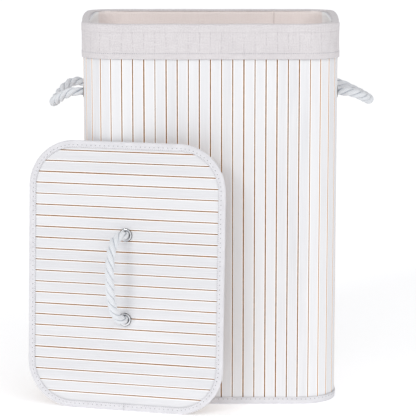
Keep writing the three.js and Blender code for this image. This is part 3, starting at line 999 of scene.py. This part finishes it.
# ---- Base board ----
# A loose fibreboard floor with rounded corners and edges, covered in pale paper.

board_paper = Finish("pale_fibreboard", Roughness=0.8)
where = board_paper.node("TexCoord", {}, output=3)
pulp = board_paper.noise(where, 420.0, detail=6, rough=0.65)
specks = board_paper.noise(where, 1500.0, detail=2)
board_paper.colour(board_paper.blend(
    board_paper.band(pulp, 0.35, 0.65), dye(206, 196, 180), dye(226, 218, 205)))
board_paper.relief(pulp * 0.7 + specks * 0.3, 0.00025)

BOARD_CORNER = 0.0494
low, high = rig.box("base_board")
bm = bmesh.new()
bmesh.ops.create_cube(bm, size=1.0)
bmesh.ops.scale(bm, verts=bm.verts, vec=high - low)
bmesh.ops.translate(bm, verts=bm.verts, vec=(high + low) / 2)
upright = [e for e in bm.edges if abs(e.verts[0].co.z - e.verts[1].co.z) > 0.001]
bmesh.ops.bevel(bm, geom=upright, offset=BOARD_CORNER, affect="EDGES", segments=14, profile=0.5,
                material=-1)
rims = [e for e in bm.edges if abs(e.verts[0].co.z - e.verts[1].co.z) < 1e-5
        and any(abs(f.normal.z) < 0.5 for f in e.link_faces)]
bmesh.ops.bevel(bm, geom=rims, offset=0.0008, affect="EDGES", segments=2, profile=0.5,
                material=-1)
board = piece("board", bm, [board_paper], "hamper", smooth=False)
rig.replaces(board, "base_board")
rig.slot(board, "base_board")

# ---- Liner ----
# A soft off-white bag hangs inside from the rim, gathered at its two ends, which are painted
# whiter as painted light. It has one upright seam in the back, with a line of painted shade
# along it, and a linen-look cuff folds over the rim and hangs outside.

CLOTH = 0.0009
HEM = 0.0090  # width of the cuff's hem
RIDGE = 0.0415  # the binding's edge shows as a line of painted shade this far above the cuff's foot
GAPS_FROM, GAPS_TO, GAPS_FADE = 0.011, 0.041, 0.002  # where up the cuff the slat gaps show as lines of painted shade
LINER_LIT_ENDS = (0.1845, 0.1885)  # from here outward the short sides are painted whiter, as painted light
DRAWN_FROM, DRAWN_OVER = 0.575, 0.050  # the height it draws in from, and the fall it takes


def woven(name, warp, weft, light, dark, slub, depth, **shader):
    """Plain weave with thick and thin yarns: warp and weft are threads per metre."""
    cloth = Finish(name, **shader)
    along, across = cloth.flat_cloth()
    up = (along * (math.pi * warp)).math("SINE")
    over = (across * (math.pi * weft)).math("SINE")
    checks = (up * over) * 0.5 + 0.5
    thick_warp = cloth.noise(cloth.vector(along * warp * 0.9, across * 38), 1.0, detail=2)
    thick_weft = cloth.noise(cloth.vector(along * 38, across * weft * 0.9), 1.0, detail=2)
    yarns = (thick_warp + thick_weft) * 0.5
    haze = cloth.noise(cloth.vector(along * 25, across * 25), 1.0, detail=2)
    speck = cloth.noise(cloth.vector(along * 620, across * 620), 1.0, detail=3, rough=0.7)
    mixed = yarns * 0.35 + speck * 0.57 + haze * 0.08
    weave = cloth.blend(cloth.band(mixed, 0.5 - slub, 0.5 + slub), dark, light)
    cloth.colour(weave)
    cloth.relief(checks * 0.45 + yarns * 0.9, depth)
    return cloth, weave


liner_cotton, plain = woven("liner_cotton", 1100, 1100, dye(250, 241, 238), dye(240, 229, 225),
                            0.16, 0.00025, Roughness=0.95, Sheen_Weight=0.15)
linen, weave = woven("cuff_linen", 900, 900, dye(226, 222, 223), dye(204, 199, 201), 0.12,
                     0.00030, Roughness=0.95, Sheen_Weight=0.15)
along, across = linen.flat_cloth()
# painted shade: darker lines on the cuff over the slat gaps, along the hem and along the binding's edge
slat_gap = ((along + wall.start) / pitch).math("PINGPONG", 0.5)
gap_shade = (1 - linen.band(slat_gap, 0.0, 0.07)) * linen.band(
    linen.noise(linen.vector(along * 60, across * 420), 1.0), 0.42, 0.6)
gap_shade = gap_shade * linen.band(across, GAPS_FROM, GAPS_FROM + GAPS_FADE)
gap_shade = gap_shade * (1 - linen.band(across, GAPS_TO, GAPS_TO + GAPS_FADE))
hem_shade = 1 - linen.band((across - HEM).math("ABSOLUTE"), 0.0003, 0.0013)
binding_shade = 1 - linen.band((across - RIDGE).math("ABSOLUTE"), 0.0003, 0.0016)
painted_shade_lines = gap_shade * 0.55 + hem_shade * 0.05 + binding_shade * 0.14
linen.colour(linen.blend(painted_shade_lines, weave, dye(176, 168, 172)))

low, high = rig.box("liner_side_cloth")
BAG_LOW, BAG_HIGH = low.z, high.z
BAG_HALF = (high.x - CLOTH / 2, high.y - CLOTH / 2)
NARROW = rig.box("liner_base_cloth")[1].x / high.x
bag_plan = Plan(BAG_HALF, WALL_CORNER - (WALL_HALF[0] - BAG_HALF[0]))
bag_plan.start = bag_plan.length / 2 - SEAM
sideways = liner_cotton.node("SeparateXYZ", {}, liner_cotton.node("TexCoord", {}, output=3))
# painted light: the short sides are painted near-white
ends = liner_cotton.band(sideways.math("ABSOLUTE"), *LINER_LIT_ENDS)
# painted shade: a darker line along the back seam
from_seam = liner_cotton.flat_cloth()[0].math("PINGPONG", bag_plan.length / 2)
seam_shade = (1 - liner_cotton.band(from_seam, 0.0003, 0.0013)) * 0.4
liner_cotton.colour(liner_cotton.blend(
    seam_shade, liner_cotton.blend(ends, plain, dye(253, 253, 253)), dye(172, 158, 154)))


def draw_in(point):
    """The bag's short sides draw in between the rim and the knots, and hang straight below."""
    fall = min(1.0, max(0.0, (DRAWN_FROM - point.z) / DRAWN_OVER))
    return Vector((point.x * (1 - (1 - NARROW) * fall * fall * (3 - 2 * fall)),
                   point.y, point.z))


def bag_place(u, v):
    """Hanging folds run down from the rim and deepen, and the seam pulls in a little."""
    fall = min(1.0, v / 0.12)
    near_corner = abs(bag_plan.at(u)[1].x * bag_plan.at(u)[1].y) * 2
    around = math.tau * u / bag_plan.length
    ring = Vector((math.cos(around), math.sin(around))) * 2.6
    folds = 0.5 + 0.5 * noise.noise(Vector((*(ring * 2.4), v * 2.2)))
    fine = noise.noise(Vector((*(ring * 9), v * 14)))
    gathers = 0.5 + 0.5 * math.sin(math.tau * (u + 0.7 * v) / 0.0135 + 3 * fine)
    start = min(1.0, v / 0.010)
    deep = fall * (0.0035 * folds * folds + 0.0007 * fine)
    deep += 0.0016 * near_corner * gathers * start
    seam = math.exp(-(min(u, bag_plan.length - u) / 0.0015) ** 2) * 0.0010
    flat = bag_plan.at(u, -max(0.0, deep) - seam)[0]
    return draw_in(Vector((*flat, BAG_HIGH - v)))


bag_height = BAG_HIGH - BAG_LOW
bag = piece("liner_bag", rolled((440, 105), (bag_plan.length, bag_height), bag_place),
            [liner_cotton], "liner")
thick(bag, CLOTH)
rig.replaces(bag, "liner_side_cloth")
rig.slot(bag, "liner_cloth")
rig.sheet(bag, flat=(bag_plan.length, bag_height), held="hung", rests_on=["tape_top"])

low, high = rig.box("liner_base_cloth")
floor_size = (high.x - low.x, high.y - low.y)
floor_plan_corner = 0.045


def floor_place(u, v):
    """A flat square pulled round at its corners, with soft creases where it was folded."""
    x, y = u - floor_size[0] / 2, v - floor_size[1] / 2
    core = (floor_size[0] / 2 - floor_plan_corner, floor_size[1] / 2 - floor_plan_corner)
    over = Vector((max(0.0, abs(x) - core[0]), max(0.0, abs(y) - core[1])))
    if over.x > 0 and over.y > 0:
        over *= max(over) / over.length
    x = math.copysign(min(abs(x), core[0]) + over.x, x)
    y = math.copysign(min(abs(y), core[1]) + over.y, y)
    crease = 0.0008 * abs(noise.noise(Vector((x * 14, y * 14, 2)))) + 0.0003 * noise.noise(
        Vector((x * 60, y * 60, 8)))
    return Vector((x * 0.995, y * 0.985, (low.z + high.z) / 2 + max(0.0, crease)))


bag_floor = piece("liner_floor", rolled((110, 90), floor_size, floor_place, False),
                  [liner_cotton], "liner")
thick(bag_floor, CLOTH)
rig.replaces(bag_floor, "liner_base_cloth")
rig.slot(bag_floor, "liner_cloth")
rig.sheet(bag_floor, flat=floor_size, held="laid", rests_on=["board"])

low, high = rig.box("liner_cuff")
CUFF_LOW, CUFF_HIGH = low.z, high.z - CLOTH / 2
cuff_out = high.x - WALL_HALF[0] - CLOTH / 2
cuff_in = -0.0102
CUFF_TURN = 0.0030
SLATS_FELT = (0.015, 0.044)  # how far below the rim the slats press through
BINDING_FELT = 0.0135  # down to here the binding does
RIM_REACH = 0.030  # the bulge at the rim fades out over this
fold = (
    [(cuff_out, CUFF_LOW), (cuff_out, CUFF_HIGH - CUFF_TURN)]
    + arc(cuff_out - CUFF_TURN, CUFF_HIGH - CUFF_TURN, CUFF_TURN, 0, 90, 6)[1:]
    + arc(cuff_in + CUFF_TURN, CUFF_HIGH - CUFF_TURN, CUFF_TURN, 90, 180, 6)
)
cuff_path = fold_path(fold)


def cuff_place(u, v):
    """The cloth shows the slats and the binding beneath it, its hem stands out a little, and
    near the rim it bulges over the short sides and puffs up toward the back."""
    point, tangent, _, _ = cuff_path.at(v)
    down = CUFF_HIGH - point.y
    outside = point.x > cuff_out - 0.001
    gap = abs(((u + wall.start) / pitch + 0.5) % 1.0 - 0.5) * pitch
    shown = SLATS_FELT[0] < down < SLATS_FELT[1]
    sunk = math.exp(-(gap / 0.0016) ** 2) * (1.0 if shown else 0.0)
    ledge = 0.00035 if down < BINDING_FELT else 0.0
    hem = 0.00035 if v < HEM else 0.0
    hem -= 0.00015 * math.exp(-((v - HEM) / 0.0008) ** 2)
    soft = 0.0006 * noise.noise(Vector((u * 22, v * 40, 4))) + 0.0003 * noise.noise(
        Vector((u * 110, v * 110, 9)))
    slack = (soft + ledge + hem - 0.0003 * sunk) if outside else soft * 0.5
    push = Vector((tangent.y, -tangent.x)) * (slack - 0.0004)
    sway = 0.0007 * noise.noise(Vector((u * 9, 0, 11))) * max(0.0, 1 - v / 0.03)
    near_rim = max(0.0, 1 - max(down, 0.0) / RIM_REACH)
    flat, face = wall.at(u, point.x + push.x)
    side = face.x * max(0.0, 1 - ((flat.y - 0.045) / 0.125) ** 2)
    flat.x += 0.0050 * near_rim * side
    puff = 0.0014 * near_rim * min(1.0, max(0.0, (flat.y + 0.02) / 0.12))
    puff += 0.0016 * near_rim * abs(side)
    return Vector((*flat, point.y + push.y + sway + puff))


cuff = piece("cuff", rolled((740, 62), (wall.length, cuff_path.length), cuff_place),
             [linen], "liner")
thick(cuff, CLOTH)
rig.replaces(cuff, "liner_cuff")
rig.slot(cuff, "cuff_cloth")
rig.sheet(cuff, flat=(wall.length, cuff_path.length), held="folded", rests_on=["tape_top"])
count, place = stitch_row(wall, -(cuff_out + 0.00035), CUFF_LOW + HEM, 0.0034, 0)
stitches("cuff_hem_stitches", count, place, "liner", "cuff_cloth",
         length=0.0026, girth=0.00028)

# ---- Lid ----
# Twenty-four stained slats across the short way on tan cloth, in a wire hoop and a wide white
# tape that is sewn through all round. The first and last slats are cut narrow to fit.

LID_HALF = (0.2115, 0.1590)
LID_CORNER = 0.074
LID_SHADED_TONES = (0.0, 0.5)  # its stain is set a little darker than the wall's, painted shade that offsets the stronger light on the lid
LID_TAPE = 0.0112  # width of the tape on either face
FIRST_GAP, LAST_GAP = 0.0250 - LID_HALF[0], 0.4073 - LID_HALF[0]
lid_matrix = Matrix.Translation(lid_middle) @ Matrix(
    (lid_up, lid_left, lid_out)).transposed().to_4x4()
lid_plan = Plan(LID_HALF, LID_CORNER)
lid_plan.start = 0.75 * lid_plan.length  # the tape's ends meet at the foot
PANEL_INSET = 0.0050  # from the outline in to the ends of the slats
WHOLE_SLATS = 22
FIRST_LID_SERIAL = 500  # numbers the lid's slats past the wall's


def half_span(x):
    """Half the panel's width at a place along the lid, inside its round corners."""
    radius = LID_CORNER - PANEL_INSET
    over = abs(x) - (LID_HALF[0] - LID_CORNER)
    core = LID_HALF[1] - LID_CORNER
    return core + math.sqrt(max(1e-9, radius ** 2 - max(0.0, min(over, radius)) ** 2))


edges = [PANEL_INSET - LID_HALF[0]]
edges += [FIRST_GAP + (LAST_GAP - FIRST_GAP) * i / WHOLE_SLATS for i in range(WHOLE_SLATS + 1)]
edges += [LID_HALF[0] - PANEL_INSET]
bm = bmesh.new()
for i, (start, end) in enumerate(zip(edges, edges[1:])):
    dice = random.Random(FIRST_LID_SERIAL + i)
    sink = dice.uniform(0, 1) * 0.00018
    shift = dice.uniform(-1, 1) * 0.00012

    def lie(co, start=start, end=end, i=i, sink=sink, shift=shift):
        along_slat = (co.z / (2 * LID_HALF[1]) - 0.5) * 2
        x = (start + end) / 2 + co.x
        bow = 0.00025 * noise.noise(Vector((i * 5.1, along_slat, 7)))
        deep = 0.00025 * (0.5 + 0.5 * noise.noise(Vector((along_slat * 2, i * 2.9, 1))))
        return Vector((x + shift + bow, along_slat * half_span(x), -co.y * PLANED - sink - deep))

    width = end - start - GROOVE * dice.uniform(0.85, 1.15)
    slat(bm, width, 2 * LID_HALF[1], SLAT_CELLS, FIRST_LID_SERIAL + i, LID_SHADED_TONES, lie)
bmesh.ops.recalc_face_normals(bm, faces=bm.faces)
lid_slats = piece("lid_panel_slats", bm, [stained, bare], None, lid_matrix, smooth=False)
drilled(lid_slats, holes["lid"], BORE)
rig.ride(lid_slats, "lid")
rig.replaces(lid_slats, "lid_slats")
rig.slot(lid_slats, "slat_white")


def lid_cloth_place(u, v):
    """Flat cloth cut to the panel: each row is as wide as the lid is there."""
    x = (u - LID_HALF[0]) * (1 - PANEL_INSET / LID_HALF[0])
    return Vector((x, (v / LID_HALF[1] - 1) * half_span(x), -0.0031))


lid_size = (2 * LID_HALF[0], 2 * LID_HALF[1])
lid_cloth = piece("lid_cloth", rolled((90, 40), lid_size, lid_cloth_place, False), [felt],
                  None, lid_matrix)
thick(lid_cloth, FELT)
drilled(lid_cloth, holes["lid"], BORE)
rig.ride(lid_cloth, "lid")
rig.replaces(lid_cloth, "lid_backing_cloth")
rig.slot(lid_cloth, "backing_cloth")
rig.sheet(lid_cloth, flat=lid_size, held="stretched", rests_on=["lid_panel_slats"])

hoop("lid_hoop", lid_plan, 0.0009 + WIRE, -0.00355, "lid", "lid_hoop_wire", lid_matrix)

face_up, face_down = 0.0006, -0.0041
tape_round = (face_up - face_down) / 2
lid_fold = (
    [(-LID_TAPE, face_up), (-tape_round - 0.0003, face_up)]
    + arc(-tape_round - 0.0003, (face_up + face_down) / 2, tape_round, 90, -90, 10)[1:]
    + [(-LID_TAPE, face_down)]
)
lid_tape, lid_tape_width = folded_tape(
    "lid_tape", lid_plan, lid_fold, (420, 28), "lid", "lid_binding_tape", lid_matrix)
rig.sheet(lid_tape, flat=(lid_plan.length, lid_tape_width), held="folded",
         rests_on=["lid_panel_slats"])
for name, height, way in (("face", face_up + 0.0003, 1), ("back", face_down - 0.0003, -1)):
    count, place = stitch_row(lid_plan, 0.0070, height, STITCH_PITCH, way)
    stitches(f"lid_tape_stitches_{name}", count, place, "lid", "binding_tape", lid_matrix)
    count, place = stitch_row(lid_plan, LID_TAPE - 0.0011, height, 0.0031, way)
    stitches(f"lid_tape_edging_{name}", count, place, "lid", "binding_tape", lid_matrix,
             length=0.0018, girth=0.00022)

# ---- Size and finish ----
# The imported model's box and the finished model's box, to compare.

low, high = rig.bounds()
with open("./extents.json", "w") as file:
    json.dump({"cad": [list(cad_low), list(cad_high)], "visual": [list(low), list(high)]}, file)
